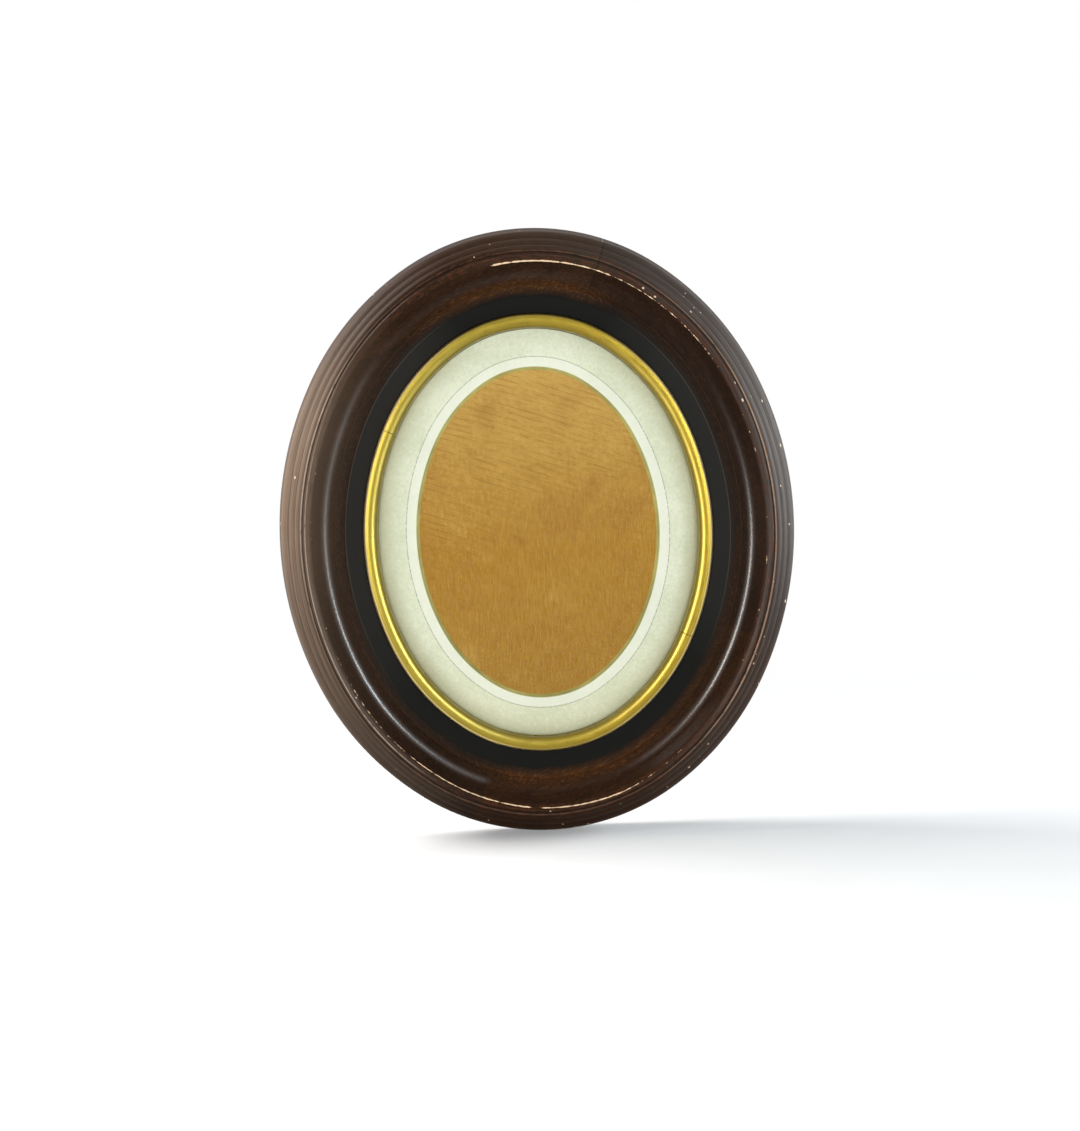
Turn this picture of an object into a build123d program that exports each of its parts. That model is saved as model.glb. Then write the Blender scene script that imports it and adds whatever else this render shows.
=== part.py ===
from build123d import *
from math import atan2, cos, degrees, hypot, radians, sin, sqrt
import os

# A deep walnut oval picture frame, in millimetres. X runs across it and +Z is up.
# The wall plane is y = 0 and the front faces -Y. The origin is the oval's centre on
# the wall plane. A section is drawn as (offset, height): offset is measured outwards
# from the edge of the sight opening, and height forwards from the wall plane.

# Sight opening, the oval that the gilt slip leaves open: an 8 by 10 inch oval's
sight_width = 190.5
sight_height = 243.5

# The oval is drawn with eight tangent arcs. Their radii follow from the oval's height
# over its width, raised to these powers, so that a rounder oval turns into a circle.
end_radius_power = -0.88
side_radius_power = 0.834
between_radius_power = 0.065

# Widths across the moulding, from the sight edge outwards
gilt_width = 9.0
band_width = 10.6
scoop_width = 20.4
crest_width = 6.6
bead_width = 14.0

# What lies in the rebate, from the wall forwards
recess_depth = 18.0
backing_thickness = 5.0
picture_board_thickness = 1.5
mat_thickness = 1.5
glass_thickness = 2.0
board_setback = 0.2
slip_sink = 1.8
crest_rise = 16.0

# Rebate behind the sight edge, and the wider recess behind the ledge
rebate_lip = 6.35
ledge_width = 29.65
glass_clearance = 0.6
board_clearance = 0.9
back_taper = 4.0
back_taper_height = 10.5
land_chamfer = 1.0

# Mat
mat_border = 22.6
mat_bevel = 1.7

# Butt joints of the four segments, as the direction that the rim faces there
first_joint_angle = 70.0
segment_count = 4
tongue_length = 24.0
tongue_width = 22.0
tongue_thickness = 5.0
tongue_height = 24.0
tongue_offset = 38.0
gilt_joint_angle = 155.5

# Gilt slip
slip_edge = 1.0
slip_rise = 6.6
slip_clearance = 0.05

# Turn buttons and their screws
button_angle = 40.0
button_offset = 16.0
button_reach = 18.0
button_tail_radius = 5.5
button_nose_radius = 3.6
button_thickness = 1.5
button_play = 0.1
screw_shank_radius = 1.5
screw_running_clearance = 0.06
screw_pilot_clearance = 0.03
screw_head_radius = 3.4
screw_head_height = 1.6
screw_bite = 9.0
screw_tip = 2.0
screw_point_share = 0.25
screw_slot_width = 0.8
screw_slot_depth = 0.7

# Strap hanger with a swinging ring
strap_width = 11.0
strap_length = 22.0
strap_thickness = 1.2
strap_corner = 3.0
strap_end_margin = 4.5
eye_length = 7.0
eye_wall = 1.0
eye_play = 0.1
ring_wire_radius = 1.1
ring_inner_width = 13.0
ring_corner = 2.6
ring_side = 3.0
ring_running_clearance = 0.06
strap_screw_spacing = 10.0
strap_screw_inset = 4.5
strap_screw_radius = 1.2
strap_screw_head_radius = 2.4
strap_screw_bite = 7.0

# One overrun for every cut
cut_overrun = 5.0

# Sizes that follow
half_width = sight_width / 2
half_height = sight_height / 2
band_outer = gilt_width + band_width
crest_inner = band_outer + scoop_width
crest_outer = crest_inner + crest_width
rim_outer = crest_outer + bead_width
recess_edge = rebate_lip + ledge_width
backing_back = recess_depth + board_setback
backing_front = backing_back + backing_thickness
mat_back = backing_front + picture_board_thickness
mat_front = mat_back + mat_thickness
seat_height = mat_front + glass_thickness
band_height = seat_height + slip_sink
crest_height = band_height + crest_rise
outer_reach = max(half_width, half_height) + rim_outer + cut_overrun

# Section of the scoop, as shares of its width and of the crest's rise above the band:
# a small step, a plain slope, a second step, a cove that bends over to a low shoulder,
# and a hollow whose flank climbs to the crest
step_share = (0.0, 0.03)
slope_share = (0.31, 0.17)
slope_step_share = (0.31, 0.2)
bend_share = (0.422, 0.344)
shoulder_mid_share = (0.498, 0.414)
shoulder_share = (0.588, 0.45)
hollow_bend_share = (0.685, 0.489)
hollow_share = (0.765, 0.569)
flank_mid_share = (0.887, 0.75)
hollow_top_share = (1.0, 0.94)

# Section of the crest, as shares of its width and of the crest's rise
crest_top_share = (0.5, 1.0)
quirk_in_share = (0.62, 0.93)
quirk_out_share = (0.88, 0.905)
crest_edge_share = (1.0, 0.93)

# Section of the outer beads, as shares of their width and of the crest's height
bead_shares = (
    ((0.124, 0.944), (0.19, 0.9)),
    ((0.368, 0.86), (0.47, 0.8)),
    ((0.681, 0.744), (0.79, 0.665)),
)
rim_step_share = (0.79, 0.64)

# Section of the gilt slip's face, as shares of its width and of its rise
slip_foot_share = (0.06, 0.22)
slip_rise_share = (0.112, 0.636)
slip_bend_mid_share = (0.174, 0.806)
slip_bend_share = (0.29, 0.909)
slip_top_mid_share = (0.467, 0.966)
slip_top_share = (0.648, 0.985)
slip_shoulder_mid_share = (0.775, 0.975)
slip_shoulder_share = (0.9, 0.947)


def direction(angle):
    """Unit vector in the plane of the oval, turned from +X towards +Z."""
    return Vector(cos(radians(angle)), 0, sin(radians(angle)))


def centre_line_angle(start, end, way):
    """Angle of the line through two arcs' centres, away from the larger arc's."""
    return degrees(atan2((end[1] - start[1]) * way, (end[0] - start[0]) * way))


def quarter_arcs():
    """Radii, centres and change-over angles of the three arcs in the first quarter."""
    slimness = half_height / half_width
    end_radius = half_width * slimness**end_radius_power
    side_radius = half_height * slimness**side_radius_power
    between_radius = sqrt(end_radius * side_radius) * slimness**between_radius_power
    end_centre = (0, half_height - end_radius)
    side_centre = (half_width - side_radius, 0)
    gap_x = end_centre[0] - side_centre[0]
    gap_z = end_centre[1] - side_centre[1]
    gap = hypot(gap_x, gap_z)
    to_end = between_radius - end_radius
    to_side = side_radius - between_radius
    along = (to_side**2 - to_end**2 + gap**2) / (2 * gap)
    across = sqrt(to_side**2 - along**2)
    centre = (
        side_centre[0] + (gap_x * along + gap_z * across) / gap,
        side_centre[1] + (gap_z * along - gap_x * across) / gap,
    )
    first = centre_line_angle(side_centre, centre, to_side)
    second = centre_line_angle(centre, end_centre, to_end)
    return (
        (side_centre, side_radius, first),
        (centre, between_radius, second),
        (end_centre, end_radius),
    )


def oval_arcs():
    """All eight arcs, anticlockwise: centre, radius, first and last angle."""
    side, between, end = quarter_arcs()
    first, second = side[2], between[2]
    corner_x, corner_z = between[0]
    return [
        ((side[0][0], 0), side[1], -first, first),
        ((corner_x, corner_z), between[1], first, second),
        ((0, end[0][1]), end[1], second, 180 - second),
        ((-corner_x, corner_z), between[1], 180 - second, 180 - first),
        ((-side[0][0], 0), side[1], 180 - first, 180 + first),
        ((-corner_x, -corner_z), between[1], 180 + first, 180 + second),
        ((0, -end[0][1]), end[1], 180 + second, 360 - second),
        ((corner_x, -corner_z), between[1], 360 - second, 360 - first),
    ]


ARCS = oval_arcs()


def arc_facing(angle):
    """The arc whose rim faces this direction."""
    for centre, radius, start, stop in ARCS:
        if start <= angle < stop or start <= angle - 360 < stop:
            return centre, radius
    raise ValueError("no arc faces this way")


def rim_point(angle, offset, height):
    """Point of the oval at an offset from the sight edge, where the rim faces angle."""
    centre, radius = arc_facing(angle)
    return Vector(centre[0], -height, centre[1]) + direction(angle) * (radius + offset)


def oval_ring(section):
    """A section, drawn as (offset, height), carried once round the oval."""
    ring = None
    for centre, radius, start, stop in ARCS:
        origin = (centre[0], 0, centre[1])
        normal = direction(start - 90)
        plane = Plane(origin=origin, x_dir=direction(start), z_dir=normal)
        axis = Axis(origin, (0, -1, 0))
        sector = revolve(plane * Pos(radius, 0) * section, axis, stop - start)
        ring = sector if ring is None else ring + sector
    return ring


def oval_plate(offset, back, front):
    """A plate with the oval's outline between two heights."""
    edges = []
    for centre, radius, start, stop in ARCS:
        middle = Vector(centre[0], -back, centre[1])
        reach = radius + offset
        angles = (start, (start + stop) / 2, stop)
        edges.append(ThreePointArc(*[middle + direction(a) * reach for a in angles]))
    outline = Face(Wire(edges))
    return extrude(outline, amount=front - back, dir=(0, -1, 0))


def section_face(*strokes):
    """A closed section from strokes: two points make a line, three an arc."""
    edges = []
    for stroke in strokes:
        edges.append(Line(*stroke) if len(stroke) == 2 else ThreePointArc(*stroke))
    edges.append(Line(strokes[-1][-1], strokes[0][0]))
    return make_face(edges)


def scoop_point(share):
    return band_outer + share[0] * scoop_width, band_height + share[1] * crest_rise


def crest_point(share):
    return crest_inner + share[0] * crest_width, band_height + share[1] * crest_rise


def bead_point(share):
    return crest_outer + share[0] * bead_width, share[1] * crest_height


def slip_point(share):
    slip_width = gilt_width - slip_clearance
    return share[0] * slip_width, seat_height + slip_edge + share[1] * slip_rise


def moulding_section():
    """The walnut's section: stepped back, black band, scoop, crest and outer beads."""
    top_of_hollow = scoop_point(hollow_top_share)
    front = [
        ((rebate_lip, seat_height), (gilt_width, seat_height)),
        ((gilt_width, seat_height), (gilt_width, band_height)),
        ((gilt_width, band_height), (band_outer, band_height)),
        ((band_outer, band_height), scoop_point(step_share)),
        (scoop_point(step_share), scoop_point(slope_share)),
        (scoop_point(slope_share), scoop_point(slope_step_share)),
        (scoop_point(slope_step_share), scoop_point(bend_share)),
        tuple(map(scoop_point, (bend_share, shoulder_mid_share, shoulder_share))),
        tuple(map(scoop_point, (shoulder_share, hollow_bend_share, hollow_share))),
        (scoop_point(hollow_share), scoop_point(flank_mid_share), top_of_hollow),
        (top_of_hollow, crest_point(crest_top_share)),
        (crest_point(crest_top_share), crest_point(quirk_in_share)),
        (crest_point(quirk_in_share), crest_point(quirk_out_share)),
        (crest_point(quirk_out_share), crest_point(crest_edge_share)),
    ]
    corner = crest_point(crest_edge_share)
    for middle, end in bead_shares:
        front.append((corner, bead_point(middle), bead_point(end)))
        corner = bead_point(end)
    rim_step = bead_point(rim_step_share)
    widest = (rim_outer, back_taper_height)
    chamfer_out = rim_outer - back_taper
    back = [
        (corner, rim_step),
        (rim_step, widest),
        (widest, (chamfer_out, land_chamfer)),
        ((chamfer_out, land_chamfer), (chamfer_out - land_chamfer, 0)),
        ((chamfer_out - land_chamfer, 0), (recess_edge + land_chamfer, 0)),
        ((recess_edge + land_chamfer, 0), (recess_edge, land_chamfer)),
        ((recess_edge, land_chamfer), (recess_edge, recess_depth)),
        ((recess_edge, recess_depth), (rebate_lip, recess_depth)),
    ]
    return section_face(*front, *back)


def wedge(start, stop):
    """A block that holds the part of the frame between two butt joints."""
    inwards = -min(half_width, half_height) / 2
    reach = 2 * outer_reach
    corners = [
        rim_point(start, inwards, 0),
        rim_point(start, reach, 0),
        direction((start + stop) / 2) * 2 * reach,
        rim_point(stop, reach, 0),
        rim_point(stop, inwards, 0),
    ]
    outline = Face(Wire.make_polygon(corners, close=True))
    whole = extrude(outline, amount=crest_height + cut_overrun, dir=(0, -1, 0))
    behind = extrude(outline, amount=cut_overrun, dir=(0, 1, 0))
    return whole + behind


def solid_of(shape):
    """The single solid of a cut or joined shape."""
    return shape.solids()[0]


def joint_angles():
    return [first_joint_angle + 360 * i / segment_count for i in range(segment_count)]


def joint_tongues():
    """The loose tongues, one across each butt joint."""
    tongues = []
    for angle in joint_angles():
        middle = rim_point(angle % 360, tongue_offset, tongue_height)
        plane = Plane(origin=middle, x_dir=direction(angle), z_dir=direction(angle + 90))
        tongues.append(plane * Box(tongue_width, tongue_thickness, tongue_length))
    return tongues


def button_angles():
    return {
        "upper_right": button_angle,
        "upper_left": 180 - button_angle,
        "lower_left": 180 + button_angle,
        "lower_right": 360 - button_angle,
    }


def button_plane(angle):
    """On the ledge at a button's screw, x pointing in towards the boards."""
    point = rim_point(angle, button_offset, recess_depth)
    return Plane(origin=point, x_dir=direction(angle + 180), z_dir=(0, 1, 0))


def turn_button(angle):
    """A tapered button with a round tail, flat on the ledge and over the boards."""
    spread = button_tail_radius - button_nose_radius
    lean = spread / button_reach
    rise = sqrt(1 - lean**2)
    tail = (button_tail_radius * lean, button_tail_radius * rise)
    nose = (button_reach + button_nose_radius * lean, button_nose_radius * rise)
    outline = make_face(
        [
            ThreePointArc((tail[0], -tail[1]), (-button_tail_radius, 0), tail),
            Line(tail, nose),
            ThreePointArc(nose, (button_reach + button_nose_radius, 0), (nose[0], -nose[1])),
            Line((nose[0], -nose[1]), (tail[0], -tail[1])),
        ]
    )
    hole = Circle(screw_shank_radius + screw_running_clearance)
    body = extrude(outline - hole, amount=button_thickness)
    return button_plane(angle) * Pos(0, 0, button_play) * body


def shank(radius, bite, tip):
    """A screw's shank below its seat at z = 0, with a pointed end."""
    straight = bite - tip
    rod = Pos(0, 0, -straight / 2) * Cylinder(radius, straight)
    end_radius = radius * screw_point_share
    point = Pos(0, 0, -straight - tip / 2) * Cone(end_radius, radius, tip)
    return rod + point


def turn_button_screw(angle):
    """A domed, slotted screw whose shank is the button's pivot."""
    seat = button_thickness + 2 * button_play
    grip = seat + screw_bite
    dome_radius = (screw_head_radius**2 + screw_head_height**2) / (2 * screw_head_height)
    ball = Pos(0, 0, screw_head_height - dome_radius) * Sphere(dome_radius)
    disc = Pos(0, 0, screw_head_height / 2) * Cylinder(screw_head_radius, screw_head_height)
    slot_box = Box(2 * screw_head_radius, screw_slot_width, 2 * screw_slot_depth)
    slot = Pos(0, 0, screw_head_height) * slot_box
    head = (ball & disc) - slot
    screw = head + shank(screw_shank_radius, grip, screw_tip)
    return button_plane(angle) * Pos(0, 0, seat) * screw


def strap_frame():
    """On the ledge at the top, at the eye's axis, x across and y up the strap."""
    eye_radius = ring_wire_radius + ring_running_clearance + eye_wall
    base = half_height + recess_edge - strap_end_margin - strap_length
    return (
        Plane(origin=(0, -recess_depth, base), x_dir=(-1, 0, 0), z_dir=(0, 1, 0)),
        eye_radius,
    )


def strap_screw_places():
    first = strap_length - strap_screw_inset - strap_screw_spacing
    return [first, first + strap_screw_spacing]


def strap_screw():
    """A flat-headed screw, its face flush with the strap."""
    cone_depth = strap_screw_head_radius - strap_screw_radius
    head = Pos(0, 0, -cone_depth / 2)
    head *= Cone(strap_screw_radius, strap_screw_head_radius, cone_depth)
    slot_box = Box(2 * strap_screw_head_radius, screw_slot_width, screw_slot_depth)
    body = shank(strap_screw_radius, strap_screw_bite + strap_thickness, screw_tip)
    return head + body - slot_box


def hanger_plate():
    """A flat strap with a rolled eye at its lower end and two countersunk holes."""
    plane, eye_radius = strap_frame()
    flat = Pos(0, strap_length / 2, strap_thickness / 2)
    flat *= Box(strap_width, strap_length, strap_thickness)
    upper = flat.edges().filter_by(Axis.Z).group_by(Axis.Y)[-1]
    flat = fillet(upper, strap_corner)
    lift = eye_radius + eye_play
    eye = Pos(0, 0, lift) * Rot(0, 90, 0) * Cylinder(eye_radius, eye_length)
    neck_length = eye_radius
    neck = Pos(0, neck_length / 2, strap_thickness / 2)
    neck *= Box(eye_length, neck_length, strap_thickness)
    bore_radius = ring_wire_radius + ring_running_clearance
    bore = Pos(0, 0, lift) * Rot(0, 90, 0) * Cylinder(bore_radius, eye_length + cut_overrun)
    clear = Pos(0, 0, strap_thickness / 2)
    clear *= Box(strap_width + cut_overrun, 2 * eye_radius, strap_thickness)
    plate = (flat - clear) + neck + eye - bore
    for place in strap_screw_places():
        plate -= Pos(0, place, strap_thickness) * screw_clearance()
    return plane * plate


def screw_clearance():
    """The space that a strap screw fills, with its pilot clearance."""
    cone_depth = strap_screw_head_radius - strap_screw_radius
    wide = strap_screw_head_radius + screw_pilot_clearance
    narrow = strap_screw_radius + screw_pilot_clearance
    bite = strap_screw_bite + strap_thickness + screw_pilot_clearance
    cone = Pos(0, 0, -cone_depth / 2) * Cone(narrow, wide, cone_depth)
    return cone + Pos(0, 0, -bite / 2) * Cylinder(narrow, bite)


def hanger_screws():
    plane, _ = strap_frame()
    places = strap_screw_places()
    return [plane * Pos(0, place, strap_thickness) * strap_screw() for place in places]


def ring_path(side):
    """Half of the ring's centre line, from the middle of its bar down to its foot."""
    half = side * (ring_inner_width / 2 + ring_wire_radius)
    bend = side * (half * side - ring_corner)
    sweep_in = ring_corner * (1 - sqrt(0.5))
    foot_radius = abs(half)
    low = -ring_corner - ring_side
    diagonal = foot_radius * sqrt(0.5)
    return Wire(
        [
            Line((0, 0, 0), (bend, 0, 0)),
            ThreePointArc(
                (bend, 0, 0),
                (half - side * sweep_in, 0, -sweep_in),
                (half, 0, -ring_corner),
            ),
            Line((half, 0, -ring_corner), (half, 0, low)),
            ThreePointArc(
                (half, 0, low),
                (side * diagonal, 0, low - diagonal),
                (0, 0, low - foot_radius),
            ),
        ]
    )


def hanger_ring():
    """The ring: a straight bar in the eye, and a rounded loop below it."""
    plane, eye_radius = strap_frame()
    section = Plane(origin=(0, 0, 0), z_dir=(1, 0, 0)) * Circle(ring_wire_radius)
    loop = sweep(section, path=ring_path(1)) + sweep(section, path=ring_path(-1))
    height = recess_depth - eye_radius - eye_play
    return Pos(0, -height, plane.origin.Z) * loop


def pilot_holes():
    """Holes that the screws fill in the walnut."""
    holes = []
    radius = screw_shank_radius + screw_pilot_clearance
    length = screw_bite + screw_pilot_clearance
    for angle in button_angles().values():
        hole = Pos(0, 0, -length / 2) * Cylinder(radius, length)
        holes.append(button_plane(angle) * hole)
    plane, _ = strap_frame()
    for place in strap_screw_places():
        holes.append(plane * Pos(0, place, strap_thickness) * screw_clearance())
    return holes


def moulding_segments():
    """The walnut ring with its mortises and pilot holes, cut at the butt joints."""
    ring = oval_ring(moulding_section())
    for tool in joint_tongues() + pilot_holes():
        ring -= tool
    names = ("upper_left", "lower_left", "lower_right", "upper_right")
    segments = {}
    for name, start in zip(names, joint_angles()):
        stop = start + 360 / segment_count
        segments["moulding_" + name] = solid_of(ring & wedge(start, stop))
    return segments


def gilt_section():
    """The gilt slip: a thin foot at the sight edge, a steep rise and a rounded top."""
    width = gilt_width - slip_clearance
    foot = slip_point(slip_foot_share)
    shoulder = slip_point(slip_shoulder_share)
    return section_face(
        ((0, seat_height), (0, seat_height + slip_edge)),
        ((0, seat_height + slip_edge), foot),
        (foot, slip_point(slip_rise_share)),
        tuple(map(slip_point, (slip_rise_share, slip_bend_mid_share, slip_bend_share))),
        tuple(map(slip_point, (slip_bend_share, slip_top_mid_share, slip_top_share))),
        (slip_point(slip_top_share), slip_point(slip_shoulder_mid_share), shoulder),
        (shoulder, (width, shoulder[1] - slip_edge)),
        ((width, shoulder[1] - slip_edge), (width, seat_height)),
    )


def gilt_slips():
    ring = oval_ring(gilt_section())
    lower = wedge(gilt_joint_angle, gilt_joint_angle + 180)
    return {
        "gilt_slip_upper": solid_of(ring - lower),
        "gilt_slip_lower": solid_of(ring & lower),
    }


def oval_mat():
    """The mat, with its opening's edge cut to a bevel."""
    outer = rebate_lip - board_clearance
    return oval_ring(
        section_face(
            ((-mat_border, mat_front), (outer, mat_front)),
            ((outer, mat_front), (outer, mat_back)),
            ((outer, mat_back), (-mat_border - mat_bevel, mat_back)),
        )
    )


def boards():
    board_edge = rebate_lip - board_clearance
    return {
        "glass": oval_plate(rebate_lip - glass_clearance, mat_front, seat_height),
        "oval_mat": solid_of(oval_mat()),
        "picture_board": oval_plate(board_edge, backing_front, mat_back),
        "backing_board": oval_plate(board_edge, backing_back, backing_front),
    }


def pieces():
    parts = {}
    parts.update(moulding_segments())
    parts.update(gilt_slips())
    parts.update(boards())
    for name, angle in button_angles().items():
        parts["turn_button_" + name] = turn_button(angle)
    screws = [turn_button_screw(angle) for angle in button_angles().values()]
    parts["joint_tongues"] = Compound(children=joint_tongues())
    parts["turn_button_screws"] = Compound(children=screws)
    parts["hanger_plate"] = hanger_plate()
    parts["hanger_screws"] = Compound(children=hanger_screws())
    parts["hanger_ring"] = hanger_ring()
    return parts


os.makedirs("parts", exist_ok=True)
for node, shape in pieces().items():
    export_step(shape, f"parts/{node}.step")
    print(node, round(shape.volume), shape.bounding_box().size)
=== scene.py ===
import math

import bpy
import numpy as np
from mathutils import Matrix, Vector


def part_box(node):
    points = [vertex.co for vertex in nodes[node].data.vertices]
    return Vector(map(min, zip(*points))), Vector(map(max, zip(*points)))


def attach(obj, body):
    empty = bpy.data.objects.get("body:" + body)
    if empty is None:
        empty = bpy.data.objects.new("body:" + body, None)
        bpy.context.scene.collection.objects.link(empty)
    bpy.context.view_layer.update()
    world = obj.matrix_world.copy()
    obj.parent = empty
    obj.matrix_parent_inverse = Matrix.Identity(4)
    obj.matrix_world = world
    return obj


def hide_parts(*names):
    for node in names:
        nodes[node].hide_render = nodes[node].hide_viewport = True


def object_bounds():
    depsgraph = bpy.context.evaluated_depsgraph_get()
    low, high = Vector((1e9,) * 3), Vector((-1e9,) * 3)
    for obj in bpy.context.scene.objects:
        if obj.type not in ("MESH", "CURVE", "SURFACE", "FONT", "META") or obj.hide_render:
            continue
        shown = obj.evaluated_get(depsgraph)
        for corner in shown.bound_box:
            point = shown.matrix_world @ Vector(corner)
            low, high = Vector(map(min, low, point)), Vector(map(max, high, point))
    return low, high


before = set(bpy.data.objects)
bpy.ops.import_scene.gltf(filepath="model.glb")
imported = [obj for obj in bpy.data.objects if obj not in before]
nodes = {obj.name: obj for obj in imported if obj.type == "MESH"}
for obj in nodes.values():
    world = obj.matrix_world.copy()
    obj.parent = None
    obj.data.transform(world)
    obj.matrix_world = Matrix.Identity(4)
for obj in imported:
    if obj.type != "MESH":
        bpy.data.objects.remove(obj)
cad_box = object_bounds()

# An oval walnut picture frame, in metres. X runs across it, +Z is up and the front
# faces -Y, with the wall plane at y = 0. Offsets run outwards from the sight edge and
# heights forwards from the wall plane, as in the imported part.
SIGHT_WIDTH = 0.1905
SIGHT_HEIGHT = 0.2435
END_RADIUS_POWER = -0.88
SIDE_RADIUS_POWER = 0.834
BETWEEN_RADIUS_POWER = 0.065

# Widths across the moulding
GILT_WIDTH = 0.009
BAND_WIDTH = 0.0106
SCOOP_WIDTH = 0.0204
CREST_WIDTH = 0.0066
BEAD_WIDTH = 0.014

# The rebate, the recess behind the ledge and the slopes of the back
REBATE_LIP = 0.00635
LEDGE_WIDTH = 0.02965
RECESS_DEPTH = 0.018
BACK_TAPER = 0.004
BACK_TAPER_HEIGHT = 0.0105
LAND_CHAMFER = 0.001
SLIP_SINK = 0.0018

# Gilt slip, mat, picture board and glass
SLIP_EDGE = 0.001
SLIP_RISE = 0.0066
SLIP_CLEARANCE = 0.00005
MAT_BORDER = 0.0226
MAT_BEVEL = 0.0017
MAT_HAIRLINE = 0.0063
MAT_SHADE_START = 0.0116
BOARD_THICKNESS = 0.0015
BOARD_CLEARANCE = 0.0009
BOARD_STREAK_GAP = 0.0036
GLASS_CLEARANCE = 0.0006
GLASS_GAP = 0.00005
PLATE_EDGE = 0.0002

# Where the rim faces at the butt joints, in degrees from +X towards +Z
FIRST_JOINT = 70.0
SEGMENT_SPAN = 90.0
GILT_JOINT = 155.5
GILT_JOINT_GAP = 0.06

# Heights read from the frame
SEAT_HEIGHT = -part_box("glass")[0].y
MAT_FRONT = -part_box("oval_mat")[0].y
MAT_BACK = -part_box("oval_mat")[1].y
CREST_HEIGHT = -cad_box[0][1]

# Sizes that follow
HALF_WIDTH = SIGHT_WIDTH / 2
HALF_HEIGHT = SIGHT_HEIGHT / 2
BAND_HEIGHT = SEAT_HEIGHT + SLIP_SINK
CREST_RISE = CREST_HEIGHT - BAND_HEIGHT
BAND_OUTER = GILT_WIDTH + BAND_WIDTH
CREST_INNER = BAND_OUTER + SCOOP_WIDTH
CREST_OUTER = CREST_INNER + CREST_WIDTH
RIM_OUTER = CREST_OUTER + BEAD_WIDTH
RECESS_EDGE = REBATE_LIP + LEDGE_WIDTH
BOARD_EDGE = REBATE_LIP - BOARD_CLEARANCE
GLASS_EDGE = REBATE_LIP - GLASS_CLEARANCE

# How finely the shapes are drawn
FRONT_STEP = 0.0006
BACK_STEP = 0.0025
SLIP_STEP = 0.0004
MAT_STEP = 0.0015
COLUMN_DEGREES = 0.5
SHARP_DEGREES = 35.0

# Wear and waves of the surfaces: how wide along the section, and how deep
WEAR_WIDTH = 0.0007
WEAR_DEPTH = 0.00035
RUB_WIDTH = 0.0006
RUB_DEPTH = 0.00012
SLIP_WAVE_OUT = 0.00012
SLIP_WAVE_UP = 0.0001

# Widths of painted lines and soft edges, across the section
HAIR = 0.0002
THIN = 0.0004
SOFT = 0.0005
FINE = 0.0006
BROAD = 0.0008
WIDE = 0.001
CREST_FADE = 0.0016
SHINE_WIDTH = 0.003
RIM_FADE = 0.007
BLACK_FADE_WIDTH = 0.006
BLACK_EDGE_WIDTH = 0.0003
GILT_RUB = 0.0009

# The worn line: its greatest half width, how fast it reaches that, and where it runs
WORN_HALF_WIDTH = 0.00085
WORN_REACH = 0.0016
WORN_INSET = 0.0009
WORN_SHIFT = 0.0028
WORN_SOFTNESS = 0.00012

# Depths of the relief that only the materials draw
GRAIN_DEPTH = 0.0001
BOARD_GRAIN_DEPTH = 0.00015
CARD_DEPTH = 0.00008
METAL_DEPTH = 0.00004
PANE_DEPTH = 0.0004

# Stretches of X or Z over which a colour changes
SHEEN_COLOUR_SPAN = (-0.05, 0.13)
CHIP_SPAN = (0.06, 0.12)
COOL_GILT_LIGHT_SPAN = (0.06, -0.06)
MAT_SPAN = (-0.04, -0.13)
BOARD_SPAN = (-0.1, 0.1)
STREAK_SPAN = (-0.03, 0.03)

# The board's streaks slope down to the right, in degrees
STREAK_SLOPE = -19

# The painted line at the first joint and the slip's cracks, in turns of the rim
JOINT_LINE = 0.0014
CRACK_WANDER = 0.0006
CRACK_FADE = (0.0003, 0.00015)


# The oval

def centre_line_angle(start, end, way):
    """Degrees of the line between two centres, from its other end where way is negative."""
    return math.degrees(math.atan2((end[1] - start[1]) * way, (end[0] - start[0]) * way))


def quarter_arcs():
    """Centre, radius and last angle of the three arcs in the first quarter."""
    slimness = HALF_HEIGHT / HALF_WIDTH
    end = HALF_WIDTH * slimness**END_RADIUS_POWER
    side = HALF_HEIGHT * slimness**SIDE_RADIUS_POWER
    between = math.sqrt(end * side) * slimness**BETWEEN_RADIUS_POWER
    end_centre = (0.0, HALF_HEIGHT - end)
    side_centre = (HALF_WIDTH - side, 0.0)
    gap_x = end_centre[0] - side_centre[0]
    gap_z = end_centre[1] - side_centre[1]
    gap = math.hypot(gap_x, gap_z)
    to_end, to_side = between - end, side - between
    along = (to_side**2 - to_end**2 + gap**2) / (2 * gap)
    across = math.sqrt(to_side**2 - along**2)
    centre = (
        side_centre[0] + (gap_x * along + gap_z * across) / gap,
        side_centre[1] + (gap_z * along - gap_x * across) / gap,
    )
    first = centre_line_angle(side_centre, centre, to_side)
    second = centre_line_angle(centre, end_centre, to_end)
    return (side_centre, side, first), (centre, between, second), (end_centre, end, 90.0)


QUARTER = quarter_arcs()


def rim_arc(angle):
    """Centre and radius of the sight edge's arc where the rim faces an angle."""
    turned = angle % 360
    mirror_x = -1 if 90 < turned < 270 else 1
    mirror_z = -1 if turned > 180 else 1
    folded = min(turned % 180, 180 - turned % 180)
    for centre, radius, last in QUARTER:
        if folded <= last:
            return centre[0] * mirror_x, centre[1] * mirror_z, radius
    raise ValueError("no arc faces this way")


def rim_points(angles, offsets, heights):
    """Points on the rim: a row for each angle and a column for each section point."""
    arcs = np.array([rim_arc(angle) for angle in angles])
    turned = np.radians(angles)[:, None]
    reach = arcs[:, 2:3] + offsets
    x = arcs[:, 0:1] + np.cos(turned) * reach
    z = arcs[:, 1:2] + np.sin(turned) * reach
    return np.stack([x, np.broadcast_to(-heights, x.shape), z], axis=-1)


# Sections

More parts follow.
